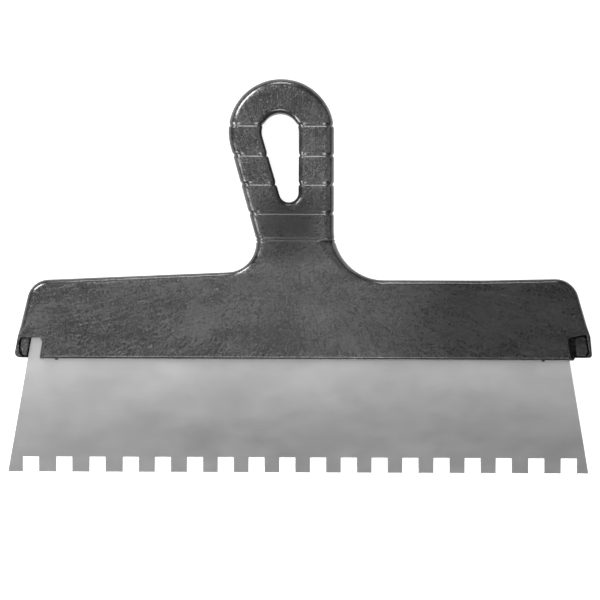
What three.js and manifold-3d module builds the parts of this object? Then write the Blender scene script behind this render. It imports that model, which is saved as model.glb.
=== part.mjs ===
// Notched trowel: a stainless blade with square notches, trapped between the front and
// rear mouldings of a T-shaped plastic handle. The handle is a wide holder that grips
// the blade, a neck, and an upright grip with a teardrop hole. Screws driven in from the
// back pass through the blade and close the two mouldings.
//
// Millimetres. While a piece is drawn, X runs along the blade from its middle, Y runs
// from the tooth tips towards the grip, and Z = 0 is the middle of the blade's
// thickness. At the end the whole trowel is moved so that it lies on its back with the
// origin under the middle of its box.

import * as THREE from 'three';
import { mergeVertices } from 'three/addons/utils/BufferGeometryUtils.js';
import Module from 'manifold-3d';

const wasm = await Module();
wasm.setup();

// ---------------------------------------------------------------- driving dimensions

const GAP = 0.3; // between pieces that touch
const PARTING = GAP / 2; // each moulding stops this far from z = 0

const blade = {
  tipWidth: 300,
  height: 86,
  thickness: 0.7,
  sideSlope: 0.17, // each side leans in by this much per unit of height
  notch: { width: 8.2, depth: 7.8 },
  firstNotch: -138.2, // middle of the first notch
  notchPitches: [[3, 17.2], [2, 16.6], [7, 15.9], [3, 16.1], [2, 16.8]], // [count, step]
};

const holder = {
  bottom: 58.4,
  leftEnd: 58.9, // the lower edge below each window
  rightEnd: 59.8,
  top: 100,
  frontAtBottom: 4,
  frontAtTop: 7,
  edgeRadius: 2,
};

const grip = {
  front: 11.5,
  head: { x: -9.5, y: 176, r: 27.45 },
  leftLean: THREE.MathUtils.degToRad(15.75),
  leftFillet: { x: -37.4, y: 118.5, r: 15 },
  rightFillet: { x: 43.8, y: 125.6, r: 25.85 },
  rampStart: 99, // the neck rises from the holder's face here
  rampEnd: 119,
  edgeRadius: 4,
  root: 92, // the grip runs down into the holder to here
};

const hole = {
  top: { x: -9.95, y: 175.8, r: 9.4 },
  bottom: { x: -5.43, y: 144.5, r: 4.83 },
};

const groove = { lines: [180, 164.3, 149.2, 134.2, 119.3], width: 1.8, depth: 1 };

const back = -7.5; // the flat back of the handle
const backChamfer = { top: 65, depth: 3.4 }; // along the holder's lower rear edge
const wall = 3;
const sideWall = 2.4; // round the holder's hollow bays

// Each window goes through the front moulding and ends in a pocket of the rear one, from
// which a pad stands up beside the blade.
const windows = [
  {
    outline: [
      [-142.6, 50], [-133.9, 50], [-132.6, 66.8], [-133.7, 69.3], [-143.6, 69.3],
      [-144.5, 66.5], [-144.3, 61.6],
    ],
    pad: [[-142.5, 60.6], [-140.4, 60.6], [-139, 69.1], [-143.3, 69.1], [-143.9, 64.5]],
    padTop: 3.2,
  },
  {
    outline: [[140.9, 50], [149, 50], [150.1, 62.8], [148.5, 71.8], [139.3, 70.1], [139.2, 67]],
    pad: [[143.6, 60.7], [148.5, 60.7], [149.6, 63], [148, 71.3], [142.6, 70.4]],
    padTop: 2.8,
  },
];
const pocket = { floor: -4, lip: 0.5 }; // the lip closes it below

const gateStubs = { x: [-125.2, 126.4], y: 58.9, r: 1.1, low: 0.75, high: 2.2 };

const ribs = { pitch: 20, thickness: 2.4, reach: 7 }; // ribs stand at 0, +-20 ... +-140

const screw = {
  shankRadius: 1.5,
  headRadius: 3.1,
  headHeight: 2.1,
  seat: back + 2.9, // the head's underside rests on this plane
  bossRadius: 4.6,
  spigotRadius: 4,
  clearance: GAP,
};

// Where the screws stand, and how far up their tips reach.
const bladeScrews = [-120, -60, 0, 60, 120].map((x) => ({ x, y: 74.5, tip: 3.8 }));
const headScrew = { x: -9.7, y: 193, tip: 8 };
const neckScrew = { x: 1.1, y: 109.6, tip: 5.8 };
const screws = [...bladeScrews, neckScrew, headScrew];

// ------------------------------------------------------------------------- materials

const moulded = { color: 0x2e2e2f, roughness: 0.55, metalness: 0 };
const frontPlastic = new THREE.MeshStandardMaterial(moulded);
const rearPlastic = new THREE.MeshStandardMaterial(moulded);
const stainless = new THREE.MeshStandardMaterial({
  color: 0xb4b4b2,
  roughness: 0.4,
  metalness: 1,
});
const zincPlated = new THREE.MeshStandardMaterial({
  color: 0xa6a8aa,
  roughness: 0.35,
  metalness: 1,
});

// --------------------------------------------------------------------------- helpers

// The closed solid of a geometry.
function solidOf(geometry) {
  geometry.deleteAttribute('normal');
  geometry.deleteAttribute('uv');
  const welded = mergeVertices(geometry, 1e-4);
  return new wasm.Manifold(new wasm.Mesh({
    numProp: 3,
    vertProperties: new Float32Array(welded.attributes.position.array),
    triVerts: new Uint32Array(welded.index.array),
  }));
}

function meshOf(solid, name, material) {
  const cut = solid.getMesh();
  const geometry = new THREE.BufferGeometry();
  geometry.setAttribute('position', new THREE.BufferAttribute(cut.vertProperties, 3));
  geometry.setIndex(new THREE.BufferAttribute(cut.triVerts, 1));
  geometry.computeVertexNormals();
  const mesh = new THREE.Mesh(geometry, material);
  mesh.name = name;
  return mesh;
}

// An outline pulled up from z = low to z = high.
function prism(outline, low, high) {
  const geometry = new THREE.ExtrudeGeometry(new THREE.Shape(outline), {
    depth: high - low,
    bevelEnabled: false,
  });
  geometry.translate(0, 0, low);
  return solidOf(geometry);
}

// An outline pulled up to z = +-height, with both its rims rounded.
function pillow(outline, height, radius) {
  const geometry = new THREE.ExtrudeGeometry(new THREE.Shape(outline), {
    depth: 2 * (height - radius),
    bevelThickness: radius,
    bevelSize: radius,
    bevelOffset: -radius,
    bevelSegments: 3,
  });
  geometry.translate(0, 0, radius - height);
  return solidOf(geometry);
}

// A profile drawn in Y and Z, pulled right across the part along X.
function acrossPart(profile) {
  const halfLength = 200;
  const geometry = new THREE.ExtrudeGeometry(new THREE.Shape(points(profile)), {
    depth: 2 * halfLength,
    bevelEnabled: false,
  });
  geometry.translate(0, 0, -halfLength);
  geometry.applyMatrix4(new THREE.Matrix4().makeBasis(
    new THREE.Vector3(0, 1, 0),
    new THREE.Vector3(0, 0, 1),
    new THREE.Vector3(1, 0, 0),
  ));
  return solidOf(geometry);
}

function box(x0, x1, y0, y1, z0, z1) {
  const geometry = new THREE.BoxGeometry(x1 - x0, y1 - y0, z1 - z0);
  geometry.translate((x0 + x1) / 2, (y0 + y1) / 2, (z0 + z1) / 2);
  return solidOf(geometry);
}

function upright(at, radius, z0, z1, sides = 16) {
  const geometry = new THREE.CylinderGeometry(radius, radius, z1 - z0, sides);
  geometry.rotateX(Math.PI / 2);
  geometry.translate(at.x, at.y, (z0 + z1) / 2);
  return solidOf(geometry);
}

function joined(solids) {
  return solids.reduce((whole, solid) => whole.add(solid));
}

function points(pairs) {
  return pairs.map(([x, y]) => new THREE.Vector2(x, y));
}

// Points on a circle from one angle to another, both in radians.
function arc({ x, y, r }, from, to, steps) {
  return Array.from({ length: steps + 1 }, (_, i) => {
    const angle = from + (to - from) * i / steps;
    return new THREE.Vector2(x + r * Math.cos(angle), y + r * Math.sin(angle));
  });
}

// A polygon of [x, y, radius] with each corner rounded by its radius.
function rounded(corners) {
  const steps = 5;
  return corners.flatMap(([x, y, radius = 0], i) => {
    const corner = new THREE.Vector2(x, y);
    if (radius === 0) return [corner];
    const [before, after] = [i - 1, i + 1].map((j) => {
      const next = corners[(j + corners.length) % corners.length];
      return new THREE.Vector2(next[0] - x, next[1] - y).normalize();
    });
    const half = Math.acos(before.dot(after)) / 2;
    const towardsCentre = before.clone().add(after).normalize();
    const centre = corner.clone().addScaledVector(towardsCentre, radius / Math.sin(half));
    const reach = radius / Math.tan(half);
    const start = corner.clone().addScaledVector(before, reach).sub(centre).angle();
    const end = corner.clone().addScaledVector(after, reach).sub(centre).angle();
    const turn = Math.atan2(Math.sin(end - start), Math.cos(end - start));
    return arc({ x: centre.x, y: centre.y, r: radius }, start, start + turn, steps);
  });
}

// The outline moved inwards by a distance, or outwards where it is negative. It runs
// anticlockwise.
function inset(outline, distance) {
  return outline.map((point, i) => {
    const before = outline[(i + outline.length - 1) % outline.length];
    const after = outline[(i + 1) % outline.length];
    const a = point.clone().sub(before).normalize();
    const b = after.clone().sub(point).normalize();
    const inward = new THREE.Vector2(-a.y - b.y, a.x + b.x).normalize();
    const stretch = inward.dot(new THREE.Vector2(-a.y, a.x));
    return point.clone().addScaledVector(inward, distance / stretch);
  });
}

// -------------------------------------------------------------------------- outlines

function bladeOutline() {
  const { tipWidth, height, sideSlope, notch } = blade;
  const topHalf = tipWidth / 2 - height * sideSlope;
  const outline = [[-topHalf, height], [-tipWidth / 2, 0]];
  let middle = blade.firstNotch;
  const addNotch = () => {
    const [left, right] = [middle - notch.width / 2, middle + notch.width / 2];
    outline.push([left, 0], [left, notch.depth], [right, notch.depth], [right, 0]);
  };
  addNotch();
  for (const [count, step] of blade.notchPitches) {
    for (let i = 0; i < count; i++) {
      middle += step;
      addNotch();
    }
  }
  outline.push([tipWidth / 2, 0], [topHalf, height]);
  return points(outline);
}

// The holder alone, anticlockwise from its lower left corner.
function holderOutline() {
  return rounded([
    [-147.2, holder.leftEnd, 2.5],
    [-139, holder.leftEnd],
    [-138, holder.bottom],
    [142, holder.bottom],
    [143, holder.rightEnd],
    [151.9, holder.rightEnd, 2.5],
    [150.6, 70.5, 12],
    [141.7, 100.9, 12.4],
    [96, 99.8],
    [20, 99.8],
    [-17.2, 104.3],
    [-138.3, 99, 11.5],
    [-145.2, 69.8, 12],
  ]);
}

// The grip and neck, with the neck's flared sides and a root inside the holder.
function gripOutline() {
  const { head, leftLean, leftFillet, rightFillet, root } = grip;
  const leftEnd = -Math.PI / 2 + THREE.MathUtils.degToRad(2.5);
  return [
    new THREE.Vector2(leftFillet.x, root),
    new THREE.Vector2(rightFillet.x, root),
    ...arc(rightFillet, -Math.PI / 2, -Math.PI, 7),
    ...arc(head, 0, Math.PI + leftLean, 18),
    ...arc(leftFillet, leftLean, leftEnd, 7),
  ];
}

// A teardrop: the two circles and the lines that touch both.
function holeOutline() {
  const { top, bottom } = hole;
  const along = Math.atan2(bottom.y - top.y, bottom.x - top.x);
  const apart = Math.hypot(bottom.x - top.x, bottom.y - top.y);
  const spread = Math.acos((top.r - bottom.r) / apart);
  return [
    ...arc(top, along + spread, along + 2 * Math.PI - spread, 14),
    ...arc(bottom, along - spread, along + spread, 8),
  ];
}

// The blade's seat between the mouldings, a little larger than the blade.
function seatOutline() {
  const half = (y) => blade.tipWidth / 2 - y * blade.sideSlope + 0.5;
  const [low, high] = [40, blade.height + 0.5];
  return points([[-half(low), low], [half(low), low], [half(high), high], [-half(high), high]]);
}

// ---------------------------------------------------------------------------- pieces

function makeBlade() {
  const half = blade.thickness / 2;
  const holes = bladeScrews.map((at) => upright(
    at, screw.spigotRadius + GAP, -1, 1, 20,
  ));
  return prism(bladeOutline(), -half, half).subtract(joined(holes));
}

// The front face of the handle, lowered by a distance, as a profile in Y and Z.
function frontProfile(lowered) {
  const { rampStart, rampEnd, front } = grip;
  const slope = (holder.frontAtTop - holder.frontAtBottom) / (holder.top - holder.bottom);
  const faceAt = (y) => holder.frontAtBottom + (y - holder.bottom) * slope;
  return [
    [40, -1],
    [220, -1],
    [220, front - lowered],
    [rampEnd + 3, front - lowered],
    [rampEnd, front - 0.4 - lowered],
    [rampStart, faceAt(rampStart) - lowered],
    [40, faceAt(40) - lowered],
  ];
}

// The holder's front half: rounded rims, and a face that falls towards the blade.
function frontHolder() {
  const flat = pillow(holderOutline(), holder.frontAtTop, holder.edgeRadius);
  const fall = holder.frontAtTop - holder.frontAtBottom;
  return flat.warp((vertex) => {
    const down = (holder.top - vertex[1]) / (holder.top - holder.bottom);
    vertex[2] *= 1 - down * fall / holder.frontAtTop;
  });
}

// The rims of the grooves: everything near a groove line that is outside the core.
function grooves(outline, core) {
  const half = groove.width / 2;
  const slabs = groove.lines.map((y) => box(-60, 60, y - half, y + half, -20, 20));
  return joined(slabs).subtract(prism(inset(outline, groove.depth), core.low, core.high));
}

function bayCutter(y0, y1, z0, z1) {
  const bays = [];
  for (let i = -ribs.reach; i < ribs.reach; i++) {
    const left = i * ribs.pitch + ribs.thickness / 2;
    bays.push(box(left, left + ribs.pitch - ribs.thickness, y0, y1, z0, z1));
  }
  return joined(bays).intersect(prism(inset(holderOutline(), sideWall), z0 - 1, z1 + 1));
}

// The hollow of the grip: inside the outer wall, and outside a wall round the hole.
function gripHollow(z0, z1) {
  const inner = prism(inset(gripOutline(), wall), z0, z1);
  const belowNeck = box(-60, 60, 80, 103, z0 - 1, z1 + 1);
  const roundHole = prism(inset(holeOutline(), -wall), z0 - 1, z1 + 1);
  const bosses = [headScrew, neckScrew].map((at) => upright(
    at, screw.bossRadius, z0 - 1, z1 + 1,
  ));
  return inner.subtract(joined([belowNeck, roundHole, ...bosses]));
}

function makeFrontShell() {
  const aboveParting = box(-200, 200, 0, 220, PARTING, 30);
  const body = pillow(gripOutline(), grip.front, grip.edgeRadius)
    .intersect(acrossPart(frontProfile(0)))
    .add(frontHolder())
    .intersect(aboveParting);
  const seatTop = blade.thickness / 2 + GAP;
  const hollow = gripHollow(-1, grip.front - wall)
    .intersect(acrossPart(frontProfile(wall)));
  const bays = bayCutter(blade.height + 2, holder.top - wall, -1, 3.6);
  const spigots = bladeScrews.map((at) => upright(at, screw.spigotRadius, PARTING, 1.2));
  const pilots = screws.map((at) => upright(
    at, screw.shankRadius + screw.clearance, -1, at.tip + screw.clearance, 12,
  ));
  const cutters = [
    prism(seatOutline(), -1, seatTop).subtract(joined(spigots)),
    hollow,
    bays,
    prism(holeOutline(), -1, 20),
    grooves(gripOutline(), { low: -20, high: grip.front - groove.depth }),
    ...windows.map(({ outline }) => prism(points(outline), -1, 20)),
    ...pilots,
  ];
  const { y, r, low, high } = gateStubs;
  const stubs = gateStubs.x.map((x) => upright({ x, y }, r, low, high));
  return body.subtract(joined(cutters)).add(joined(stubs));
}

function makeRearShell() {
  const belowParting = box(-200, 200, 0, 220, -30, -PARTING);
  const { top, depth } = backChamfer;
  const lowerEdge = acrossPart([
    [40, back - 2],
    [top, back - 2],
    [top, back],
    [holder.bottom, back + depth],
    [40, back + depth],
  ]);
  const body = pillow(holderOutline(), -back, holder.edgeRadius)
    .add(pillow(gripOutline(), -back, holder.edgeRadius))
    .intersect(belowParting)
    .subtract(lowerEdge);
  const seatBottom = -blade.thickness / 2 - GAP;
  const floor = back + wall - 0.4;
  const spigots = bladeScrews.map((at) => upright(
    at, screw.spigotRadius, seatBottom - 1, -PARTING,
  ));
  const bosses = bladeScrews.map((at) => upright(at, screw.bossRadius, back, 2));
  const aboveLip = box(-200, 200, holder.rightEnd + pocket.lip, 80, -20, 20);
  const pockets = windows.map(({ outline }) => prism(points(outline), pocket.floor, 1));
  const pads = windows.map(({ pad, padTop }) => prism(points(pad), pocket.floor - 1, padTop));
  const cutters = [
    prism(seatOutline(), seatBottom, 1).subtract(joined(spigots)),
    gripHollow(floor, 1),
    bayCutter(64.5, holder.top - wall, floor, 1).subtract(joined(bosses)),
    prism(holeOutline(), -20, 1),
    grooves(gripOutline(), { low: back + groove.depth, high: 20 }),
    joined(pockets).intersect(aboveLip),
    ...screws.map((at) => upright(at, screw.shankRadius + GAP, -20, 1, 12)),
    ...screws.map((at) => upright(at, screw.headRadius + 0.5, -20, screw.seat - GAP, 20)),
  ];
  return body.subtract(joined(cutters)).add(joined(pads));
}

// A self-tapping screw with a pan head and a cross recess, its head's underside at
// z = 0 and its tip at z = length.
function makeScrew(length) {
  const { shankRadius, headRadius, headHeight } = screw;
  const profile = points([
    [0, -headHeight],
    [headRadius * 0.6, -headHeight],
    [headRadius * 0.92, -headHeight * 0.7],
    [headRadius, -headHeight * 0.3],
    [headRadius, 0],
    [shankRadius, 0],
    [shankRadius, length - 1.6],
    [0.3, length],
    [0, length],
  ]);
  const turned = new THREE.LatheGeometry(profile, 16);
  turned.rotateX(Math.PI / 2);
  const recess = [
    box(-1.7, 1.7, -0.4, 0.4, -headHeight - 1, -headHeight + 1.1),
    box(-0.4, 0.4, -1.7, 1.7, -headHeight - 1, -headHeight + 1.1),
  ];
  return solidOf(turned).subtract(joined(recess));
}

function placeScrew(at, name) {
  const seat = screw.seat - GAP;
  const mesh = meshOf(makeScrew(at.tip - seat), name, zincPlated);
  mesh.position.set(at.x, at.y, seat);
  return mesh;
}

// -------------------------------------------------------------------------- assembly

const trowel = new THREE.Group();
trowel.add(meshOf(makeBlade(), 'blade', stainless));
trowel.add(meshOf(makeFrontShell(), 'front_shell', frontPlastic));
trowel.add(meshOf(makeRearShell(), 'rear_shell', rearPlastic));
bladeScrews.forEach((at, i) => trowel.add(placeScrew(at, `blade_screw_${i + 1}`)));
trowel.add(placeScrew(neckScrew, 'neck_screw'));
trowel.add(placeScrew(headScrew, 'head_screw'));

const extent = new THREE.Box3().setFromObject(trowel);
const middle = extent.getCenter(new THREE.Vector3());
trowel.position.set(-middle.x, -middle.y, -extent.min.z);

export default trowel;
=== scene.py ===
"""The looks of a notched trowel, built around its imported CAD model.
"""

import math

import bpy
import numpy as np
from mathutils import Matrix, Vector
from mathutils.geometry import delaunay_2d_cdt


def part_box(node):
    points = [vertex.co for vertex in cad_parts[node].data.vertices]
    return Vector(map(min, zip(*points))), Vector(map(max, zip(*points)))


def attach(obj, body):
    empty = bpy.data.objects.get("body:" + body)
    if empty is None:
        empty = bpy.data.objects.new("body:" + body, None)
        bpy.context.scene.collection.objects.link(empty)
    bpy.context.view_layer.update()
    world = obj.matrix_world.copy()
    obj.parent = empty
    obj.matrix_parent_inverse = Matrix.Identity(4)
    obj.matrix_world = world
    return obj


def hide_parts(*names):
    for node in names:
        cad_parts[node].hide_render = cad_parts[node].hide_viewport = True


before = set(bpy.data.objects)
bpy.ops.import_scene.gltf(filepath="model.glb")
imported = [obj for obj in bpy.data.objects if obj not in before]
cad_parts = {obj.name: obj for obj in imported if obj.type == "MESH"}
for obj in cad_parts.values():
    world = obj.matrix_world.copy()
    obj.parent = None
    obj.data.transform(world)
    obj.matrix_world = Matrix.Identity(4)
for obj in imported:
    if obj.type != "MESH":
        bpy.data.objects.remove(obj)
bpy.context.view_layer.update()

MM = 0.001
BLADE_LOW, BLADE_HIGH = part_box("blade")
ORIGIN = Vector(
    (
        (BLADE_LOW.x + BLADE_HIGH.x) / 2,
        BLADE_LOW.y,
        (BLADE_LOW.z + BLADE_HIGH.z) / 2,
    )
)


def drawn(point):
    """A point of the frame, in the drawing frame's millimetres."""
    return (Vector(point) - ORIGIN) / MM


# ------------------------------------------------------------------------------ dimensions

TIP_WIDTH = (BLADE_HIGH.x - BLADE_LOW.x) / MM
BLADE_HEIGHT = (BLADE_HIGH.y - BLADE_LOW.y) / MM
BLADE_THICKNESS = (BLADE_HIGH.z - BLADE_LOW.z) / MM
SIDE_SLOPE = 0.17
NOTCH_WIDTH, NOTCH_DEPTH = 8.2, 7.8
FIRST_NOTCH = -138.2
NOTCH_PITCHES = ((3, 17.2), (2, 16.6), (7, 15.9), (3, 16.1), (2, 16.8))
BLADE_HOLE = 4.3

FRONT_LOW, FRONT_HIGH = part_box("front_shell")
REAR_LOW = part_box("rear_shell")[0]
PARTING = drawn(FRONT_LOW).z
GRIP_FRONT = drawn(FRONT_HIGH).z
BACK = -drawn(REAR_LOW).z  # how far the back is behind z = 0

HOLDER_BOTTOM = drawn(REAR_LOW).y
LEFT_END = HOLDER_BOTTOM + 0.5  # the lower edge below each window
RIGHT_END = HOLDER_BOTTOM + 1.4
HOLDER_TOP = 100
FRONT_AT_BOTTOM = 4
FRONT_AT_TOP = 7
RAMP_START, RAMP_END = 98, 121  # the neck rises from the holder to the grip
# The facet on the neck's right side starts at a slanting edge, which crosses the lowest
# groove at FACET_EDGE and moves right by FACET_LEAN per unit below it.
FACET_SLOPE, FACET_EDGE, FACET_LEAN = 0.3, 9.5, 0.85
FACET_WIDTH, FACET_FOOT = 9, 102
CHAMFER_TOP, CHAMFER_DEPTH = 65, 3.4  # along the holder's lower rear edge

HEAD = (-9.5, 176, 27.41)
LEFT_LEAN = math.radians(15.75)
LEFT_FILLET = (-37.4, 118.5, 15)
RIGHT_FILLET = (43.8, 125.6, 25.85)
HOLE_TOP = (-9.95, 175.8, 9.4)
HOLE_FOOT = (-5.43, 144.5, 4.83)
ROUND_MARKS = ((-9.7, 193), (1.5, 109.6))  # over the two screw bosses of the grip
ROUND_MARK_RADIUS = 3
MARK_HOLLOW, MARK_RING, MARK_RING_WIDTH = 0.1, 0.12, 0.4

GROOVES = (179.5, 164, 149.1, 134.1)
LOWEST_GROOVE = 119.2
# Across a groove, from below it to above: how far from its line, and how deep.
GROOVE_SECTION = (
    (-1.4, 0), (-1.1, 0.06), (-0.75, 0.34), (-0.4, 0.6), (-0.15, 0.6), (1.15, 0.08), (1.6, 0),
)
LOWEST_SECTION = (
    (-0.9, 0), (-0.6, 0.05), (-0.15, 0.4), (0.1, 0.4), (0.65, 0.08),
    (1.05, 0.06), (1.45, 0.4), (1.7, 0.38), (2.3, 0.04), (2.6, 0),
)

ARC_STEP = 0.8  # between the points of a rounded corner
COARSE, MEDIUM, FINE = 2.5, 1.5, 0.25  # between the points of a shell's outline
GROOVE_BAND = 2.2  # the fine points reach this far from a groove's line
SEED_CLEARANCE = 0.3  # a face's inner points keep this far from its rings
FACE_SPAN, GRIP_SPAN = (-146, 150), (-38, 18)  # in X
SMOOTH_ANGLE = math.radians(40)  # sharper edges stay sharp

RIM_STEPS = 8  # steps round each rounded rim
RIM_DRAFT = 0.03  # how far a wall leans in, as a share of its rim's radius
RIM_SHOULDER = 0.15  # how far the face runs on flat inside the rim, as a share of it
GRIP_RIM, HOLDER_RIM, LIP_RIM, HOLE_RIM = 4.5, 3.6, 1.7, 3.2
WALL_RIM, WINDOW_RIM = 0.45, 0.35
REAR_RIM, REAR_FOOT_RIM = 2, 1.5
BLADE_RIM = 0.1

WALL, BACK_WALL = 3, 2.6
SEAT_CLEARANCE, SEAT_SIDE_CLEARANCE = 0.3, 0.5
SPIGOT_RADIUS = 4
BOSS_RADIUS = 4.6
SCREW_HOLE = 1.8
COUNTERBORE = 3.6
RIB_PITCH, RIB_THICKNESS, RIB_REACH = 20, 2.4, 7
FRONT_BAYS, REAR_BAYS = (BLADE_HEIGHT + 2, 95), (66, 95)  # from the bays' foot to their top
END_BAY_DROP = 9  # the bay at each end is lower by this much
FRONT_BAY_DEPTH, FRONT_HOLLOW_DEPTH = 3.2, 6.5
HOLLOW_FOOT = 103  # the grip's hollow ends here, in the neck
PAST = 1  # how far a cut runs on past what it cuts
THROUGH = 20  # more than the handle's thickness

POCKET_FLOOR, POCKET_LIP = -4, 0.5  # under a window, and the lip that closes it below
LEFT_PAD_TOP, RIGHT_PAD_TOP, PAD_FOOT = 3.2, 2.8, -5
GATE_STUBS, STUB_Y, STUB_RADIUS = (-125.2, 126.4), 58.9, 1.1
STUB_LOW, STUB_HIGH = 0.75, 2.2

BLADE_SCREWS = [f"blade_screw_{i}" for i in range(1, 6)]
GRIP_SCREWS = ["neck_screw", "head_screw"]
HEAD_HEIGHT = 2.1


# ------------------------------------------------------------------------- drawing outlines


def arc(circle, start, end, steps, rim):
    """Points (x, y, rim) along a circle, the rim radius changing evenly from end to end."""
    x, y, r = circle
    found = []
    for i in range(steps + 1):
        share = i / steps
        angle = start + (end - start) * share
        rim_here = rim[0] + (rim[1] - rim[0]) * share
        found.append((x + r * math.cos(angle), y + r * math.sin(angle), rim_here))
    return found


def rounded(corners):
    """Rounds each corner (x, y, corner radius, rim radius) of an open run of corners.

    The first and last corner only give the directions in which the run starts and ends.
    """
    found = []
    for before, corner, after in zip(corners, corners[1:], corners[2:]):
        here = Vector(corner[:2])
        a = (Vector(before[:2]) - here).normalized()
        b = (Vector(after[:2]) - here).normalized()
        half = a.angle(b) / 2
        radius, rim = corner[2], corner[3]
        if radius == 0:
            found.append((here.x, here.y, rim))
            continue
        centre = here + (a + b).normalized() * radius / math.sin(half)
        reach = radius / math.tan(half)
        start = here + a * reach - centre
        end = here + b * reach - centre
        first = math.atan2(start.y, start.x)
        turn = math.atan2(start.x * end.y - start.y * end.x, start.dot(end))
        steps = max(3, round(abs(turn) * radius / ARC_STEP))
        found += arc((centre.x, centre.y, radius), first, first + turn, steps, (rim, rim))
    return found


def divided(outline, spacing):
    """The closed outline with points added so that none are further apart than spacing(y)."""
    found = []
    for here, after in zip(outline, outline[1:] + outline[:1]):
        length = math.dist(here[:2], after[:2])
        pieces = 1
        while any(
            length / pieces > spacing(here[1] + (after[1] - here[1]) * i / pieces)
            for i in range(pieces + 1)
        ):
            pieces += 1
        for i in range(pieces):
            share = i / pieces
            found.append(tuple(p + (q - p) * share for p, q in zip(here, after)))
    return found


def shell_spacing(y):
    """How far apart the points of a shell's outline may be: close together at the grooves."""
    if y < LOWEST_GROOVE - 3:
        return COARSE
    near = min(abs(y - line) for line in (*GROOVES, LOWEST_GROOVE))
    return FINE if near < GROOVE_BAND else MEDIUM


def grip_run():
    """The right fillet, the grip's head and the left fillet, anticlockwise."""
    right = arc(RIGHT_FILLET, -math.pi / 2, -math.pi, 22, (HOLDER_RIM, GRIP_RIM))
    head = arc(HEAD, 0, math.pi + LEFT_LEAN, 70, (GRIP_RIM, GRIP_RIM))
    left_end = -math.pi / 2 + math.radians(2.5)
    left = arc(LEFT_FILLET, LEFT_LEAN, left_end, 16, (GRIP_RIM, HOLDER_RIM))
    return right + head + left


def hole_outline():
    """The teardrop, clockwise, as the rim of a hole is."""
    dx, dy = HOLE_FOOT[0] - HOLE_TOP[0], HOLE_FOOT[1] - HOLE_TOP[1]
    along = math.atan2(dy, dx)
    turn = math.acos((HOLE_TOP[2] - HOLE_FOOT[2]) / math.hypot(dx, dy))
    rim = (HOLE_RIM, HOLE_RIM)
    top = arc(HOLE_TOP, along + turn, along + 2 * math.pi - turn, 50, rim)
    foot = arc(HOLE_FOOT, along - turn, along + turn, 24, rim)
    return divided((top + foot)[::-1], shell_spacing)


def left_window(rim):
    """Down the left end's wall, and round the window to the holder's lower edge."""
    return [
        (-142.6, LEFT_END, 0.5, rim),
        (-144.3, 61.6, 3, rim),
        (-144.5, 66.5, 3, rim),
        (-143.6, 69.3, 0.4, rim),
        (-133.7, 69.3, 0.5, rim),
        (-132.6, 66.8, 0.8, rim),
        (-133.9, HOLDER_BOTTOM, 0.5, rim),
    ]


def right_window(rim):
    """From the holder's lower edge round the window, and down the right end's wall."""
    return [
        (140.9, HOLDER_BOTTOM, 0.5, rim),
        (139.2, 67, 8, rim),
        (139.3, 70.1, 1.2, rim),
        (148.5, 71.8, 0.6, rim),
        (150.1, 62.8, 1.5, rim),
        (148.6, RIGHT_END, 0.6, rim),
    ]


def upper_corners():
    """From the right end's side round the holder's right shoulder, to the neck."""
    return [
        (148.7, 77, 0, HOLDER_RIM),
        (141.7, 100.9, 12.4, HOLDER_RIM),
        (96, 99.8, 100, HOLDER_RIM),
        (60, 99.8),
    ]


def left_shoulder(side_rim):
    """From the neck round the holder's left shoulder, and down its left side."""
    return rounded(
        [
            (-36.7, 103.5),
            (-138.3, 99, 11.5, HOLDER_RIM),
            (-143.85, 75.5, 0, HOLDER_RIM),
            (-145.1, 70.2, 0, side_rim),
            (-147.2, LEFT_END),
        ]
    )


def front_outline():
    """The front moulding, anticlockwise; the windows are bays in its lower edge."""
    foot = rounded(
        [
            (-145.2, 69.8),
            (-147.2, LEFT_END, 2.5, WALL_RIM),
            *left_window(WINDOW_RIM),
            (-131.2, HOLDER_BOTTOM, 0, LIP_RIM),
            (138.2, HOLDER_BOTTOM, 0, LIP_RIM),
            *right_window(WINDOW_RIM),
            (151.7, RIGHT_END, 1.7, WALL_RIM),
            (150.6, 70.5, 0, WALL_RIM),
            (150.25, 71.7, 0, WALL_RIM),
            *upper_corners(),
        ]
    )
    return divided(foot + grip_run() + left_shoulder(WALL_RIM), shell_spacing)


def rear_outline():
    """The rear moulding, anticlockwise, which runs on behind the windows."""
    foot = rounded(
        [
            (-145.2, 69.8),
            (-147.2, LEFT_END, 2.5, REAR_FOOT_RIM),
            (-139, LEFT_END, 0, REAR_FOOT_RIM),
            (-138, HOLDER_BOTTOM, 0, REAR_FOOT_RIM),
            (142, HOLDER_BOTTOM, 0, REAR_FOOT_RIM),
            (143, RIGHT_END, 0, REAR_FOOT_RIM),
            (151.9, RIGHT_END, 2.5, REAR_FOOT_RIM),
            (150.6, 70.5, 0, REAR_RIM),
            *upper_corners(),
        ]
    )
    outline = divided(foot + grip_run() + left_shoulder(REAR_RIM), shell_spacing)
    return [(x, y, min(rim, REAR_RIM)) for x, y, rim in outline]


# ---------------------------------------------------------------------------- mesh building


class Surface:
    """Vertices with the way each faces, and faces, gathered before they become a mesh."""

    def __init__(self):
        self.points = []
        self.normals = []
        self.faces = []

    def add(self, point, normal=(0, 0, 1)):
        self.points.append(point)
        self.normals.append(normal)
        return len(self.points) - 1

    def bridge(self, lower, upper):
        """Quads between two closed rings, facing right of the way the rings run."""
        count = len(lower)
        for i in range(count):
            j = (i + 1) % count
            self.faces.append((lower[i], lower[j], upper[j], upper[i]))

    def fan(self, ring, tip):
        """Triangles from a closed ring to one point."""
        for i, here in enumerate(ring):
            self.faces.append((here, ring[(i + 1) % len(ring)], tip))


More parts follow.
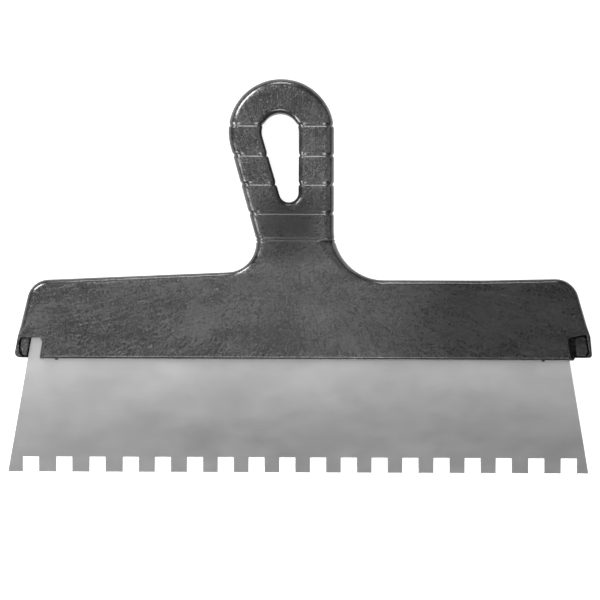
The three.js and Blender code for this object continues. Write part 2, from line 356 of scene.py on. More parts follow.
def inward_normals(outline):
    """At each point of an anticlockwise outline, the inward direction and its stretch."""
    points = np.array([p[:2] for p in outline])
    before = points - np.roll(points, 1, axis=0)
    after = np.roll(points, -1, axis=0) - points
    before /= np.linalg.norm(before, axis=1)[:, None]
    after /= np.linalg.norm(after, axis=1)[:, None]
    a = np.stack([-before[:, 1], before[:, 0]], axis=1)
    b = np.stack([-after[:, 1], after[:, 0]], axis=1)
    middle = a + b
    middle /= np.linalg.norm(middle, axis=1)[:, None]
    stretch = 1 / np.maximum((middle * a).sum(axis=1), 0.3)
    return middle, stretch


def inset(outline, distance):
    """The outline moved inwards, or outwards where the distance is negative."""
    inward, stretch = inward_normals(outline)
    return [
        (p[0] + n[0] * distance * s, p[1] + n[1] * distance * s)
        for p, n, s in zip(outline, inward, stretch)
    ]


def rounded_rim(surface, outline, height, foot):
    """The wall of an outline from foot up, and its rounded rim. Returns the foot's ring and
    the ring where the face begins."""
    inward, stretch = inward_normals(outline)
    rings = [[]]
    for (x, y, _), n in zip(outline, inward):
        rings[0].append(surface.add((x, y, foot), (-n[0], -n[1], 0)))
    for k in range(RIM_STEPS + 2):
        angle = min(k / RIM_STEPS, 1) * math.pi / 2
        shoulder = RIM_SHOULDER if k > RIM_STEPS else 0
        ring = []
        for (x, y, rim), n, s in zip(outline, inward, stretch):
            reach = rim * (RIM_DRAFT + 1 - math.cos(angle) + shoulder) * s
            px, py = x + n[0] * reach, y + n[1] * reach
            z = height(px, py) - rim * (1 - math.sin(angle))
            normal = (-n[0] * math.cos(angle), -n[1] * math.cos(angle), math.sin(angle))
            ring.append(surface.add((px, py, z), normal))
        rings.append(ring)
    for lower, upper in zip(rings, rings[1:]):
        surface.bridge(lower, upper)
    return rings[0], rings[-1]


def distance_to_ring(points, ring):
    """The distance from each point to a closed ring of segments."""
    a = np.array(ring)
    b = np.roll(a, -1, axis=0)
    best = np.full(len(points), np.inf)
    for p, q in zip(a, b):
        d = q - p
        t = np.clip(((points - p) @ d) / (d @ d), 0, 1)
        best = np.minimum(best, np.linalg.norm(points - p - t[:, None] * d, axis=1))
    return best


def inside(points, ring):
    """Which points lie inside a closed ring."""
    a = np.array(ring)
    b = np.roll(a, -1, axis=0)
    hits = np.zeros(len(points), bool)
    for (x0, y0), (x1, y1) in zip(a, b):
        crosses = (y0 > points[:, 1]) != (y1 > points[:, 1])
        with np.errstate(divide="ignore", invalid="ignore"):
            where = (x1 - x0) * (points[:, 1] - y0) / (y1 - y0) + x0
        hits ^= crosses & (points[:, 0] < where)
    return hits


def walls(rings):
    """The edges of the rings (the first is the outer one), with the face to their left."""
    found, first = [], 0
    for number, ring in enumerate(rings):
        turned = zip(ring, ring[1:] + ring[:1])
        area = sum(x0 * y1 - x1 * y0 for (x0, y0), (x1, y1) in turned)
        order = list(range(first, first + len(ring)))
        if (area > 0) != (number == 0):
            order.reverse()
        found += zip(order, order[1:] + order[:1])
        first += len(ring)
    return found


def reached(triangles, edges):
    """The triangles on the left of the edges, and those next to them up to the edges."""
    beside = {}
    for triangle in triangles:
        for side in zip(triangle, triangle[1:] + triangle[:1]):
            beside[side] = triangle
    barrier = set(edges)
    waiting = [beside[edge] for edge in edges]
    found = set()
    while waiting:
        triangle = waiting.pop()
        if triangle not in found:
            found.add(triangle)
            for a, b in zip(triangle, triangle[1:] + triangle[:1]):
                if (a, b) not in barrier:
                    waiting.append(beside[b, a])
    return [triangle for triangle in triangles if triangle in found]


def fill(surface, rings, seeds=(), height=None, up=True):
    """Triangles between the rings (the first is the outer one), through the seed points."""
    ring_points = [[tuple(surface.points[i][:2]) for i in ring] for ring in rings]
    if len(seeds):
        seeds = np.array(seeds)
        keep = inside(seeds, ring_points[0])
        for hole in ring_points[1:]:
            keep &= ~inside(seeds, hole)
        seeds = seeds[keep]
        for ring in ring_points:
            seeds = seeds[distance_to_ring(seeds, ring) > SEED_CLEARANCE]
    known = [i for ring in rings for i in ring]
    edges = walls(ring_points)
    flat = [Vector(surface.points[i][:2]) for i in known]
    for x, y in seeds:
        known.append(surface.add((x, y, height(x, y))))
        flat.append(Vector((x, y)))
    verts, _, faces, origins, _, _ = delaunay_2d_cdt(flat, edges, [], 0, 1e-6)
    assert len(verts) == len(flat), "the rings of a face cross each other"
    triangles = [tuple(origins[i][0] for i in face) for face in faces]
    for triangle in reached(triangles, edges):
        a, b, c = (known[i] for i in triangle)
        surface.faces.append((a, b, c) if up else (c, b, a))


def mesh_object(surface, name, flip_z=False):
    """A mesh object of the surface, still in millimetres."""
    mesh = bpy.data.meshes.new(name)
    points = [(x, y, -z) for x, y, z in surface.points] if flip_z else surface.points
    faces = [f[::-1] for f in surface.faces] if flip_z else surface.faces
    mesh.from_pydata(points, [], faces)
    mesh.validate()
    piece = bpy.data.objects.new(name, mesh)
    bpy.context.scene.collection.objects.link(piece)
    return piece


def closed(piece):
    """Whether every edge of the piece lies between two faces."""
    edges = np.zeros(len(piece.data.loops), np.int32)
    piece.data.loops.foreach_get("edge_index", edges)
    return (np.bincount(edges, minlength=len(piece.data.edges)) == 2).all()


def boolean(piece, other, operation):
    """Cuts or joins one closed piece with another, which is used up."""
    assert closed(piece) and closed(other), "a boolean needs closed pieces"
    step = piece.modifiers.new("boolean", "BOOLEAN")
    step.solver = "MANIFOLD"
    step.operation = operation
    step.object = other
    depsgraph = bpy.context.evaluated_depsgraph_get()
    result = bpy.data.meshes.new_from_object(piece.evaluated_get(depsgraph))
    assert len(result.polygons), "a boolean left nothing"
    piece.modifiers.clear()
    result.name = piece.name
    piece.data = result
    bpy.data.objects.remove(other)


def finish(piece, material, node):
    """Shades a drawn piece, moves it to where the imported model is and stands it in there."""
    mesh = piece.data
    points = np.zeros(len(mesh.vertices) * 3)
    mesh.vertices.foreach_get("co", points)
    points = points.reshape(-1, 3) * MM + np.array(ORIGIN)
    mesh.vertices.foreach_set("co", points.ravel())
    mesh.polygons.foreach_set("use_smooth", [True] * len(mesh.polygons))
    mesh.polygons.foreach_set("material_index", [0] * len(mesh.polygons))
    mesh.set_sharp_from_angle(angle=SMOOTH_ANGLE)
    mesh.materials.clear()
    mesh.materials.append(material)
    mesh.update()
    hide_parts(node)
    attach(piece, "root")


# ------------------------------------------------------------------------ solids for cutting


def prism(surface, rings, low, high):
    """Adds the closed solid between two heights, of an outline and the holes in it."""
    bottoms, tops = [], []
    for ring in rings:
        bottoms.append([surface.add((p[0], p[1], low)) for p in ring])
        tops.append([surface.add((p[0], p[1], high)) for p in ring])
        surface.bridge(bottoms[-1], tops[-1])
    fill(surface, tops)
    fill(surface, bottoms, up=False)


def prisms(solids):
    """One piece of solids that stand clear of each other, each (rings, low, high)."""
    surface = Surface()
    for rings, low, high in solids:
        prism(surface, rings, low, high)
    return mesh_object(surface, "cutter")


def circle(x, y, radius, sides=40):
    turns = [2 * math.pi * i / sides for i in range(sides)]
    return [(x + radius * math.cos(t), y + radius * math.sin(t)) for t in turns]


def rectangle(x0, x1, y0, y1):
    return [(x0, y0), (x1, y0), (x1, y1), (x0, y1)]


def screw_place(name):
    """Where a screw stands, and the heights of its head's outer face and its tip."""
    low, high = (drawn(corner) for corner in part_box(name))
    return (low.x + high.x) / 2, (low.y + high.y) / 2, low.z, high.z


def round_screws(names, radius, low, high):
    """A cylinder on the axis of each named screw, for prisms()."""
    return [([circle(*screw_place(name)[:2], radius)], low, high) for name in names]


# ------------------------------------------------------------------------------- the shells


def smoothstep(t):
    t = min(max(t, 0), 1)
    return t * t * (3 - 2 * t)


def front_height(x, y):
    """The front face: the holder thickens upwards, and the neck rises to the grip."""
    slope = (FRONT_AT_TOP - FRONT_AT_BOTTOM) / (HOLDER_TOP - HOLDER_BOTTOM)
    face = FRONT_AT_BOTTOM + (y - HOLDER_BOTTOM) * slope
    rise = smoothstep((y - RAMP_START) / (RAMP_END - RAMP_START))
    beyond = min(max(x - FACET_EDGE - (LOWEST_GROOVE - y) * FACET_LEAN, 0), FACET_WIDTH)
    facet = beyond * smoothstep((LOWEST_GROOVE + 1 - y) / 2) * smoothstep((y - FACET_FOOT) / 6)
    return face + (GRIP_FRONT - face) * rise - FACET_SLOPE * facet


def back_height(x, y):
    """The back: flat, with a chamfer that falls to the holder's lower edge."""
    return BACK - CHAMFER_DEPTH * max(0, CHAMFER_TOP - y) / (CHAMFER_TOP - HOLDER_BOTTOM)


def across_groove(offset, section):
    """How deep a groove is at this offset from its line."""
    return float(np.interp(offset, [p[0] for p in section], [p[1] for p in section]))


def groove_relief(y):
    """How deep the grip's cross grooves are at this height."""
    depth = across_groove(y - LOWEST_GROOVE, LOWEST_SECTION)
    return depth + sum(across_groove(y - line, GROOVE_SECTION) for line in GROOVES)


def mark_relief(x, y):
    """The two round marks on the front: a fine ring with a slight hollow inside."""
    depth = 0
    for cx, cy in ROUND_MARKS:
        distance = math.hypot(x - cx, y - cy)
        depth += MARK_HOLLOW * (1 - smoothstep(distance / ROUND_MARK_RADIUS))
        depth += MARK_RING * max(0, 1 - abs(distance - ROUND_MARK_RADIUS) / MARK_RING_WIDTH)
    return depth


def press_in(surface, relief):
    """Moves each point inwards, against the way it faces, by the relief there."""
    for i, ((x, y, z), n) in enumerate(zip(surface.points, surface.normals)):
        depth = relief(x, y)
        if depth:
            surface.points[i] = (x - n[0] * depth, y - n[1] * depth, z - n[2] * depth)


def grid(x0, x1, dx, y0, y1, dy):
    xs = np.linspace(x0, x1, max(2, round((x1 - x0) / dx) + 1))
    ys = np.linspace(y0, y1, max(2, round((y1 - y0) / dy) + 1))
    return [(x, y) for y in ys for x in xs]


def shell_seeds(round_marks):
    """Points inside the faces: sparse on the holder, close on the neck and the grooves."""
    seeds = grid(*FACE_SPAN, 6, 62, 96, 6) + grid(-36, 42, 1.6, 97, 117, 1.1)
    rows = [LOWEST_GROOVE + offset for offset, _ in LOWEST_SECTION]
    rows += [line + offset for line in GROOVES for offset, _ in GROOVE_SECTION]
    for row in rows:
        seeds += [(x, row) for x in np.arange(*GRIP_SPAN, 1.1)]
    lines = (*GROOVES, LOWEST_GROOVE)
    for low, high in zip(lines[1:], lines):
        seeds += grid(*GRIP_SPAN, 3, low + 3.4, high - 3.4, 3)
    seeds += grid(*GRIP_SPAN, 3, GROOVES[0] + 3.4, 203, 3)
    clear = [s for s in seeds if all(math.dist(s, m) > 4.4 for m in round_marks)]
    for cx, cy in round_marks:
        clear.append((cx, cy))
        for radius, count in ((1.2, 8), (2.2, 20), (2.6, 30), (3, 32), (3.4, 34), (3.9, 24)):
            clear += circle(cx, cy, radius, count)
    return clear


def moulding(outline, height, relief, seeds, name, flip_z):
    """A moulding: rounded rims outside and round the hole, its face, and its parting face."""
    surface = Surface()
    outer_foot, outer_top = rounded_rim(surface, outline, height, PARTING)
    hole_foot, hole_top = rounded_rim(surface, hole_outline(), height, PARTING)
    fill(surface, [outer_top, hole_top], seeds, height)
    press_in(surface, relief)
    fill(surface, [outer_foot, hole_foot], up=False)
    return mesh_object(surface, name, flip_z)


def seat_solid(low, high):
    """The blade's seat, with a spigot left standing in it at each blade screw."""

    def half(y):
        return TIP_WIDTH / 2 - y * SIDE_SLOPE + SEAT_SIDE_CLEARANCE

    y0, y1 = 40, BLADE_HEIGHT + SEAT_SIDE_CLEARANCE
    seat = [(-half(y0), y0), (half(y0), y0), (half(y1), y1), (-half(y1), y1)]
    spigots = [circle(*screw_place(name)[:2], SPIGOT_RADIUS)[::-1] for name in BLADE_SCREWS]
    return prisms([([seat, *spigots], low, high)])


def grip_hollow(low, high):
    """The hollow of the grip, less a wall round the hole and the two screw bosses."""
    root = [(LEFT_FILLET[0], 92), (RIGHT_FILLET[0], 92)]
    hollow = prisms([([inset(root + grip_run(), WALL)], low, high)])
    below_neck = prisms([([rectangle(-60, 60, 80, HOLLOW_FOOT)], low - PAST, high + PAST)])
    boolean(hollow, below_neck, "DIFFERENCE")
    round_hole = inset(hole_outline(), -WALL)[::-1]
    boolean(hollow, prisms([([round_hole], low - PAST, high + PAST)]), "DIFFERENCE")
    bosses = round_screws(GRIP_SCREWS, BOSS_RADIUS, low - PAST, high + PAST)
    boolean(hollow, prisms(bosses), "DIFFERENCE")
    return hollow


def holder_bays(y0, y1, low, high):
    """The hollow bays between the holder's ribs, clear of the screw bosses."""
    bays = []
    for i in range(-RIB_REACH, RIB_REACH):
        left = i * RIB_PITCH + RIB_THICKNESS / 2
        right = left + RIB_PITCH - RIB_THICKNESS
        drop = END_BAY_DROP if i in (-RIB_REACH, RIB_REACH - 1) else 0
        if y1 - drop > y0:
            bays.append(([rectangle(left, right, y0, y1 - drop)], low, high))
    solids = prisms(bays)
    bosses = round_screws(BLADE_SCREWS, BOSS_RADIUS, low - PAST, high + PAST)
    boolean(solids, prisms(bosses), "DIFFERENCE")
    return solids


def gate_stubs():
    """The two small gate stubs under the holder's lower edge."""
    rings = [circle(x, STUB_Y, STUB_RADIUS, 16) for x in GATE_STUBS]
    return prisms([([ring], STUB_LOW, STUB_HIGH) for ring in rings])


def build_front_shell(material):
    seeds = shell_seeds(ROUND_MARKS)

    def relief(x, y):
        return groove_relief(y) + mark_relief(x, y)

    shell = moulding(front_outline(), front_height, relief, seeds, "front_moulding", False)
    seat_top = BLADE_THICKNESS / 2 + SEAT_CLEARANCE
    boolean(shell, seat_solid(-PAST, seat_top), "DIFFERENCE")
    boolean(shell, grip_hollow(-PAST, FRONT_HOLLOW_DEPTH), "DIFFERENCE")
    boolean(shell, holder_bays(*FRONT_BAYS, -PAST, FRONT_BAY_DEPTH), "DIFFERENCE")
    for name in BLADE_SCREWS + GRIP_SCREWS:
        tip = screw_place(name)[3]
        pilot = prisms(round_screws([name], SCREW_HOLE, -PAST, tip + SEAT_CLEARANCE))
        boolean(shell, pilot, "DIFFERENCE")
    boolean(shell, gate_stubs(), "UNION")
    finish(shell, material, "front_shell")


def pad_outline(first, *corners, last, rim):
    """A pad's outline; its first and last corner only give directions, as in rounded()."""
    outline = rounded([first, *((x, y, radius, rim) for x, y, radius in corners), last])
    return divided(outline, lambda y: 1)


def window_pads():
    """The two stubs of the rear moulding that stand in the windows beside the blade."""
    left = pad_outline(
        (-141, 69.1),
        (-143.3, 69.1, 0.6),
        (-143.9, 64.5, 4),
        (-142.5, 60.2, 1.2),
        (-140.4, 60.2, 0.6),
        (-139, 69.1, 0.6),
        last=(-143.3, 69.1),
        rim=0.35,
    )
    right = pad_outline(
        (145, 70.83),
        (142.6, 70.4, 0.8),
        (143.6, 60.8, 0.8),
        (148.5, 60.8, 0.8),
        (149.6, 63, 1.2),
        (148, 71.3, 0.8),
        last=(142.6, 70.4),
        rim=0.5,
    )
    surface = Surface()
    for outline, top in ((left, LEFT_PAD_TOP), (right, RIGHT_PAD_TOP)):
        foot, rim_top = rounded_rim(surface, outline, lambda x, y: top, PAD_FOOT)
        fill(surface, [rim_top])
        fill(surface, [foot], up=False)
    return mesh_object(surface, "pads")


def window_pockets():
    """What lies open under the windows, down into the rear moulding."""
    pockets = []
    for window, end in ((left_window(0), LEFT_END), (right_window(0), RIGHT_END)):
        ring = rounded([window[-1], *window, window[0]])
        above_lip = [(x, max(y, end + POCKET_LIP)) for x, y, _ in ring]
        pockets.append(([above_lip[::-1]], POCKET_FLOOR, PAST))
    return prisms(pockets)


def build_rear_shell(material):
    def relief(x, y):
        return groove_relief(y)

    seeds = shell_seeds(()) + grid(*FACE_SPAN, 3, CHAMFER_TOP - 0.2, CHAMFER_TOP + 0.2, 0.4)
    shell = moulding(rear_outline(), back_height, relief, seeds, "rear_moulding", True)
    floor = BACK_WALL - BACK
    boolean(shell, seat_solid(-BLADE_THICKNESS / 2 - SEAT_CLEARANCE, PAST), "DIFFERENCE")
    boolean(shell, grip_hollow(floor, PAST), "DIFFERENCE")
    boolean(shell, holder_bays(*REAR_BAYS, floor, PAST), "DIFFERENCE")
    boolean(shell, window_pockets(), "DIFFERENCE")
    boolean(shell, window_pads(), "UNION")
    screws = BLADE_SCREWS + GRIP_SCREWS
    boolean(shell, prisms(round_screws(screws, SCREW_HOLE, -THROUGH, PAST)), "DIFFERENCE")
    seat = screw_place(screws[0])[2] + HEAD_HEIGHT
    boolean(shell, prisms(round_screws(screws, COUNTERBORE, -THROUGH, seat)), "DIFFERENCE")
    finish(shell, material, "rear_shell")


# --------------------------------------------------------------------------------- the blade


def notch_middles():
    """The middle of each notch, from left to right."""
    middles = [FIRST_NOTCH]
    for count, pitch in NOTCH_PITCHES:
        for _ in range(count):
            middles.append(middles[-1] + pitch)
    return middles


def blade_outline():
    """The sheet, anticlockwise from its upper left corner, with its notches."""
    top_half = TIP_WIDTH / 2 - BLADE_HEIGHT * SIDE_SLOPE
    corners = [(-top_half, BLADE_HEIGHT), (-TIP_WIDTH / 2, 0)]
    for middle in notch_middles():
        left, right = middle - NOTCH_WIDTH / 2, middle + NOTCH_WIDTH / 2
        corners += [(left, 0), (left, NOTCH_DEPTH), (right, NOTCH_DEPTH), (right, 0)]
    corners += [(TIP_WIDTH / 2, 0), (top_half, BLADE_HEIGHT)]
    return divided([(x, y, BLADE_RIM) for x, y in corners], lambda y: 4)


def build_blade(material):
    """A sheet with its rims just broken, front and back, and a hole for each spigot."""
    half = BLADE_THICKNESS / 2

    def face(x, y):
        return half

    outlines = [blade_outline()]
    for name in BLADE_SCREWS:
        ring = circle(*screw_place(name)[:2], BLADE_HOLE)[::-1]
        outlines.append([(x, y, BLADE_RIM) for x, y in ring])
    surface = Surface()
    rims = [rounded_rim(surface, outline, face, 0) for outline in outlines]
    fill(surface, [top for _, top in rims], grid(-150, 150, 5, 12, 84, 5), face)
    feet = {i for foot, _ in rims for i in foot}
    mirrored = {}
    for i, (x, y, z) in enumerate(list(surface.points)):
        mirrored[i] = i if i in feet else surface.add((x, y, -z))
    surface.faces += [tuple(mirrored[i] for i in f[::-1]) for f in list(surface.faces)]
    finish(mesh_object(surface, "steel_blade"), material, "blade")


# -------------------------------------------------------------------------------- the screws

THREAD_PITCH, THREAD_CORE, THREAD_CREST = 1.2, 1.2, 1.72
PAN_PROFILE = (  # radius, and depth behind the head's outer face
    (1.6, 0), (2.2, 0.08), (2.65, 0.3), (2.95, 0.7), (3.1, 1.3), (3.1, 1.95), (2.95, 2.1),
)


def thread_radius(z, turn, start, end):
    """The self-tapping thread: a helical ridge that fades in below the head and at the tip."""
    phase = ((z - start) / THREAD_PITCH - turn / (2 * math.pi)) % 1
    ridge = max(0, 1 - abs(phase - 0.5) / 0.3)
    fade = smoothstep((z - start - 0.6) / 0.6) * smoothstep((end - z) / 1.6)
    taper = smoothstep((end - z) / 2.2)
    return 0.25 + (THREAD_CORE - 0.25) * taper + (THREAD_CREST - THREAD_CORE) * ridge * fade


def cross_recess(x, y, low):
    """The tapered cross in the head, as the solid that cuts it."""
    arm, width = 1.75, 0.42
    plus = [
        (arm, -width), (arm, width), (width, width), (width, arm), (-width, arm), (-width, width),
        (-arm, width), (-arm, -width), (-width, -width), (-width, -arm), (width, -arm),
        (width, -width),
    ]
    surface = Surface()
    rings = []
    for z, size in ((low - 0.5, 1.1), (low + 1.3, 0.55)):
        rings.append([surface.add((x + px * size, y + py * size, z)) for px, py in plus])
    surface.bridge(*rings)
    fill(surface, [rings[1]])
    fill(surface, [rings[0]], up=False)
    return mesh_object(surface, "cutter")


def build_screw(name, material):
    """A pan head with a cross recess, and a threaded shank with a blunt point."""
    sides = 32
    turns = [2 * math.pi * i / sides for i in range(sides)]
    x, y, low, tip = screw_place(name)
    surface = Surface()

    def ring(z, radius):
        points = [(x + radius(t) * math.cos(t), y + radius(t) * math.sin(t), z) for t in turns]
        return [surface.add(point) for point in points]

    rings = [ring(low + z, lambda t, r=r: r) for r, z in PAN_PROFILE]
    start = low + HEAD_HEIGHT
    for z in np.linspace(start, tip - 0.05, round((tip - start) / THREAD_PITCH * 8)):
        rings.append(ring(z, lambda t, z=z: thread_radius(z, t, start, tip)))
    for lower, upper in zip(rings, rings[1:]):
        surface.bridge(lower, upper)
    surface.fan(rings[0][::-1], surface.add((x, y, low)))
    surface.fan(rings[-1], surface.add((x, y, tip)))
    screw = mesh_object(surface, name + "_detailed")
    boolean(screw, cross_recess(x, y, low), "DIFFERENCE")
    finish(screw, material, name)


# -------------------------------------------------------------------------------- materials

# All in metres.
DULL_SPOT = Vector((-0.006, 0.02, 0))  # the middle of the plastic's dull spot, from the gate
DULL_RADII = (0.013, 0.028)  # the spot fades out between these distances from its middle
PLASTIC_PAINTED_SHADE_BAND = (0.04, 0.08)  # painted shade: the plastic is darker across this band of X, where the light falls off to the right
BLADE_PAINTED_SHADE_BAND = (-0.084, -0.05)  # painted shade: the steel is darker below this band of Y, by the tips
GRAIN_RISE, STREAK_RISE, WAVE_RISE = 0.00035, 0.00025, 0.0012  # heights in the plastic


def new_material(name):
    """A material with its node tree and the Principled shader that it ends in."""
    material = bpy.data.materials.new(name)
    material.use_nodes = True
    tree = material.node_tree
    tree.nodes.clear()
    output = tree.nodes.new("ShaderNodeOutputMaterial")
    shader = tree.nodes.new("ShaderNodeBsdfPrincipled")
    tree.links.new(shader.outputs["BSDF"], output.inputs["Surface"])
    return material, tree, shader


def object_point(tree, scale=(1, 1, 1)):
    """The point in the object's own metres, stretched by the scale."""
    point = tree.nodes.new("ShaderNodeTexCoord")
    mapping = tree.nodes.new("ShaderNodeMapping")
    mapping.inputs["Scale"].default_value = scale
    tree.links.new(point.outputs["Object"], mapping.inputs["Vector"])
    return mapping.outputs["Vector"]


def vector_math(tree, operation, a, b=None):
    """A vector operation on a vector, and on another vector or constant where it has one."""
    node = tree.nodes.new("ShaderNodeVectorMath")
    node.operation = operation
    tree.links.new(a, node.inputs[0])
    if isinstance(b, tuple):
        node.inputs[1].default_value = b
    elif b is not None:
        tree.links.new(b, node.inputs[1])
    return node.outputs["Value"] if operation == "LENGTH" else node.outputs["Vector"]


def fan_point(tree, centre, across, along):
    """A point whose steps grow with the distance from a centre, as flow fans out from a gate.

    across counts the steps in one radian round the centre, and along in one e-fold outwards.
    """
    away = vector_math(tree, "SUBTRACT", object_point(tree), tuple(centre))
    flat = vector_math(tree, "MULTIPLY", away, (1, 1, 0))
    unit = vector_math(tree, "NORMALIZE", flat)
    circle_point = vector_math(tree, "MULTIPLY", unit, (across, across, 0))
    distance = vector_math(tree, "LENGTH", flat)
    outward = arithmetic(tree, "LOGARITHM", distance, math.e)
    lift = tree.nodes.new("ShaderNodeCombineXYZ")
    tree.links.new(arithmetic(tree, "MULTIPLY", outward, along), lift.inputs["Z"])
    return vector_math(tree, "ADD", circle_point, lift.outputs["Vector"])


def noise(tree, vector, scale, detail, roughness=0.5, distortion=0.0):
    """Fractal noise between 0 and 1 at a point."""
    node = tree.nodes.new("ShaderNodeTexNoise")
    node.inputs["Scale"].default_value = scale
    node.inputs["Detail"].default_value = detail
    node.inputs["Roughness"].default_value = roughness
    node.inputs["Distortion"].default_value = distortion
    tree.links.new(vector, node.inputs["Vector"])
    return node.outputs["Fac"]


def spread(tree, value, low, high, to_low, to_high):
    """A value that goes from to_low to to_high as another goes from low to high."""
    node = tree.nodes.new("ShaderNodeMapRange")
    node.inputs["From Min"].default_value = low
    node.inputs["From Max"].default_value = high
    node.inputs["To Min"].default_value = to_low
    node.inputs["To Max"].default_value = to_high
    tree.links.new(value, node.inputs["Value"])
    return node.outputs["Result"]


def ramp(tree, value, low, high, to_low, to_high):
    """A colour that goes from one to another as value goes from low to high."""
    node = tree.nodes.new("ShaderNodeValToRGB")
    node.color_ramp.elements[0].position = low
    node.color_ramp.elements[0].color = (*to_low, 1)
    node.color_ramp.elements[1].position = high
    node.color_ramp.elements[1].color = (*to_high, 1)
    tree.links.new(value, node.inputs["Fac"])
    return node.outputs["Color"]


def arithmetic(tree, operation, a, b):
    """A math operation on a value, and on another value or number."""
    node = tree.nodes.new("ShaderNodeMath")
    node.operation = operation
    tree.links.new(a, node.inputs[0])
    if isinstance(b, (int, float)):
        node.inputs[1].default_value = b
    else:
        tree.links.new(b, node.inputs[1])
    return node.outputs["Value"]


def bump(tree, height, strength, distance, after=None):
    """A normal bent by a height, on top of the one from an earlier bump."""
    node = tree.nodes.new("ShaderNodeBump")
    if isinstance(strength, (int, float)):
        node.inputs["Strength"].default_value = strength
    else:
        tree.links.new(strength, node.inputs["Strength"])
    node.inputs["Distance"].default_value = distance
    tree.links.new(height, node.inputs["Height"])
    if after is not None:
        tree.links.new(after, node.inputs["Normal"])
    return node.outputs["Normal"]


def flatness(tree):
    """1 on the front and back faces, falling away over the rounded rims."""
    point = tree.nodes.new("ShaderNodeTexCoord")
    split = tree.nodes.new("ShaderNodeSeparateXYZ")
    tree.links.new(point.outputs["Normal"], split.inputs["Vector"])
    return spread(tree, arithmetic(tree, "ABSOLUTE", split.outputs["Z"], 0), 0.94, 0.995, 0.12, 1)


def dull_spot_and_painted_shade(tree, gate):
    """The moulding is duller above its gate, and darker towards the right of the holder as
    painted shade where the light falls off.
    """
    point = object_point(tree)
    away = vector_math(tree, "SUBTRACT", point, tuple(gate + DULL_SPOT))
    near = spread(tree, vector_math(tree, "LENGTH", away), *DULL_RADII, 0.4, 1)
    split = tree.nodes.new("ShaderNodeSeparateXYZ")
    tree.links.new(point, split.inputs["Vector"])
    # painted shade: the colour and the shine fall off towards the right, where the light is
    # weaker
    painted_shade_right = spread(tree, split.outputs["X"], *PLASTIC_PAINTED_SHADE_BAND, 1, 0.5)
    return arithmetic(tree, "MULTIPLY", near, painted_shade_right)


def moulded_plastic(name):
    """Dark satin plastic: flow streaks that fan out from its gate, slow waves and grain."""
    material, tree, shader = new_material(name)
    gate = ORIGIN + Vector((*ROUND_MARKS[1], 0)) * MM
    waves = noise(tree, object_point(tree, (0.5, 1, 1)), 60, 3, 0.55, 0.4)
    streaks = noise(tree, fan_point(tree, gate, 60, 9), 1, 3, 0.6, 1.2)
    grain = noise(tree, object_point(tree), 800, 3, 0.7, 0.5)
    fine = arithmetic(tree, "ADD", grain, arithmetic(tree, "MULTIPLY", streaks, 0.6))
    mottle = arithmetic(tree, "ADD", fine, arithmetic(tree, "MULTIPLY", waves, 0.6))
    # this carries the dull spot by the gate and the painted shade towards the right
    dullness_and_painted_shade = dull_spot_and_painted_shade(tree, gate)
    share = arithmetic(tree, "MULTIPLY", spread(tree, mottle, 0.87, 1.5, 0, 1), dullness_and_painted_shade)
    colour = ramp(tree, share, 0, 1, (0.003, 0.003, 0.003), (0.028, 0.028, 0.028))
    tree.links.new(colour, shader.inputs["Base Color"])
    level = arithmetic(tree, "MULTIPLY", spread(tree, mottle, 0.87, 1.5, 0.35, 0.6), dullness_and_painted_shade)
    tree.links.new(level, shader.inputs["Specular IOR Level"])
    flat = flatness(tree)
    rough = spread(tree, waves, 0.3, 0.7, 0.19, 0.25)
    worn = arithmetic(tree, "MULTIPLY", rough, spread(tree, flat, 0.12, 1, 0.9, 1))
    tree.links.new(worn, shader.inputs["Roughness"])
    soft = bump(tree, waves, 0.4, WAVE_RISE)
    flowed = bump(tree, streaks, flat, STREAK_RISE, soft)
    tree.links.new(bump(tree, grain, flat, GRAIN_RISE, flowed), shader.inputs["Normal"])
    return material


def brushed_stainless(name):
    """Rolled stainless sheet, faintly brushed along the blade, with soft smudges, and painted
    shade that darkens it towards the tips.
    """
    material, tree, shader = new_material(name)
    lines = noise(tree, object_point(tree, (0.04, 1, 1)), 1800, 3, 0.6)
    clouds = noise(tree, object_point(tree, (0.6, 1, 1)), 60, 4, 0.6)
    tone = arithmetic(tree, "ADD", clouds, arithmetic(tree, "MULTIPLY", lines, 0.35))
    split = tree.nodes.new("ShaderNodeSeparateXYZ")
    tree.links.new(object_point(tree), split.inputs["Vector"])
    # painted shade: the base colour darkens towards the tips
    painted_shade_low = spread(tree, split.outputs["Y"], *BLADE_PAINTED_SHADE_BAND, 0.6, 0.85)
    share = arithmetic(tree, "MULTIPLY", spread(tree, tone, 0.5, 0.85, 0.93, 1), painted_shade_low)
    colour = ramp(tree, share, 0, 1, (0, 0, 0), (0.68, 0.68, 0.68))
    shader.inputs["Metallic"].default_value = 1
    tree.links.new(colour, shader.inputs["Base Color"])
    rough = spread(tree, clouds, 0.3, 0.7, 0.3, 0.33)
    tree.links.new(rough, shader.inputs["Roughness"])
    return material


def zinc_plate(name):
    """Bright zinc with a fine mottle."""
    material, tree, shader = new_material(name)
    mottle = noise(tree, object_point(tree), 900, 3)
    colour = ramp(tree, mottle, 0.3, 0.7, (0.5, 0.5, 0.49), (0.62, 0.62, 0.6))
    shader.inputs["Metallic"].default_value = 1
    tree.links.new(colour, shader.inputs["Base Color"])
    rough = spread(tree, mottle, 0.3, 0.7, 0.28, 0.4)
    tree.links.new(rough, shader.inputs["Roughness"])
    return material


# --------------------------------------------------------------------------------- the stage


def pale_floor():
    """A plain floor that glows faintly, so that it stays white between the lights."""
    material, tree, shader = new_material("pale_floor")
    shader.inputs["Base Color"].default_value = (0.35, 0.35, 0.35, 1)
    shader.inputs["Roughness"].default_value = 0.9
    shader.inputs["Emission Color"].default_value = (1, 1, 1, 1)
    shader.inputs["Emission Strength"].default_value = 0.88
    just_below = -0.2 * MM
    bpy.ops.mesh.primitive_plane_add(size=6, location=(0, 0, just_below))
    floor = bpy.context.object
    floor.name = "floor"
    floor.data.materials.append(material)


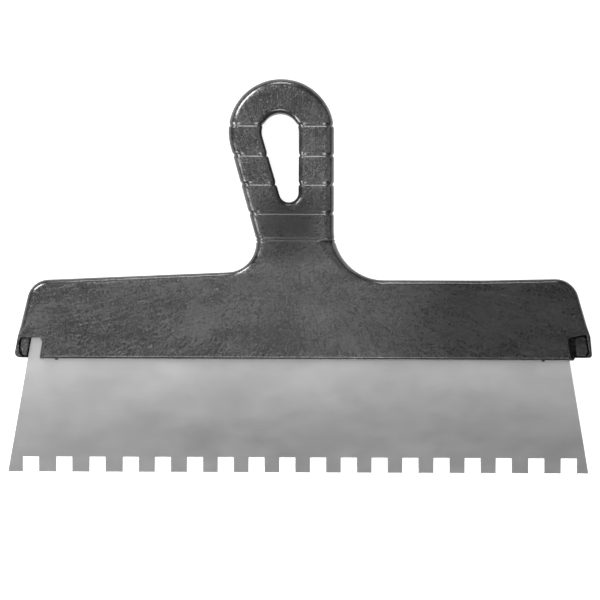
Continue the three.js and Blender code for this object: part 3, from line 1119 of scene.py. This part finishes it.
def soft_light(name, azimuth, elevation, distance, size, radiance):
    """A softbox aimed at the middle of the trowel, (width, height) in size, angles in
    degrees. It is left out of the camera's own view."""
    width, height = size
    turn, tilt = math.radians(azimuth), math.radians(elevation)
    data = bpy.data.lights.new(name, "AREA")
    data.shape = "RECTANGLE"
    data.size = width
    data.size_y = height
    data.energy = radiance * math.pi * width * height
    light = bpy.data.objects.new(name, data)
    away = Vector(
        (math.cos(turn) * math.cos(tilt), math.sin(turn) * math.cos(tilt), math.sin(tilt))
    )
    light.location = away * distance
    light.rotation_euler = away.to_track_quat("Z", "Y").to_euler()
    light.visible_camera = False
    bpy.context.scene.collection.objects.link(light)


def studio():
    """White surroundings and softboxes, (azimuth, elevation, distance, size, radiance)."""
    world = bpy.data.worlds.new("studio")
    world.use_nodes = True
    background = world.node_tree.nodes["Background"]
    background.inputs["Color"].default_value = (1, 1, 1, 1)
    background.inputs["Strength"].default_value = 0.26
    bpy.context.scene.world = world
    bpy.context.scene.view_settings.view_transform = "Standard"
    soft_light("key", 136, 36, 1.5, (0.7, 0.5), 42)
    soft_light("left", 208, 30, 1.5, (0.7, 0.8), 18)
    soft_light("front", 270, 50, 1.5, (0.6, 0.4), 14)
    soft_light("right", 8, 42, 1.5, (1.4, 1.2), 1.3)
    soft_light("back", 90, 25, 1.5, (0.5, 0.4), 18)
    soft_light("overhead_left", 160, 64, 0.95, (0.35, 0.35), 2.1)
    soft_light("overhead", 92, 68, 0.93, (1.05, 0.6), 0.9)


def camera():
    """Straight above, with the top of the frame towards the grip."""
    distance, view_width = 3, 0.3102
    middle = Vector((0.55, 89.2, 0)) * MM
    roll = math.radians(0.225)
    data = bpy.data.cameras.new("camera")
    data.sensor_fit = "HORIZONTAL"
    data.angle = 2 * math.atan(view_width / 2 / distance)
    eye = bpy.data.objects.new("camera", data)
    eye.location = ORIGIN + middle + Vector((0, 0, distance))
    eye.rotation_euler = (0, 0, roll)
    bpy.context.scene.collection.objects.link(eye)
    bpy.context.scene.camera = eye


# -------------------------------------------------------------------------------- everything

camera()
studio()
pale_floor()

plastic = moulded_plastic("handle_plastic")
build_front_shell(plastic)
build_rear_shell(plastic)
build_blade(brushed_stainless("blade_steel"))
zinc = zinc_plate("screw_steel")
for screw_name in BLADE_SCREWS + GRIP_SCREWS:
    build_screw(screw_name, zinc)
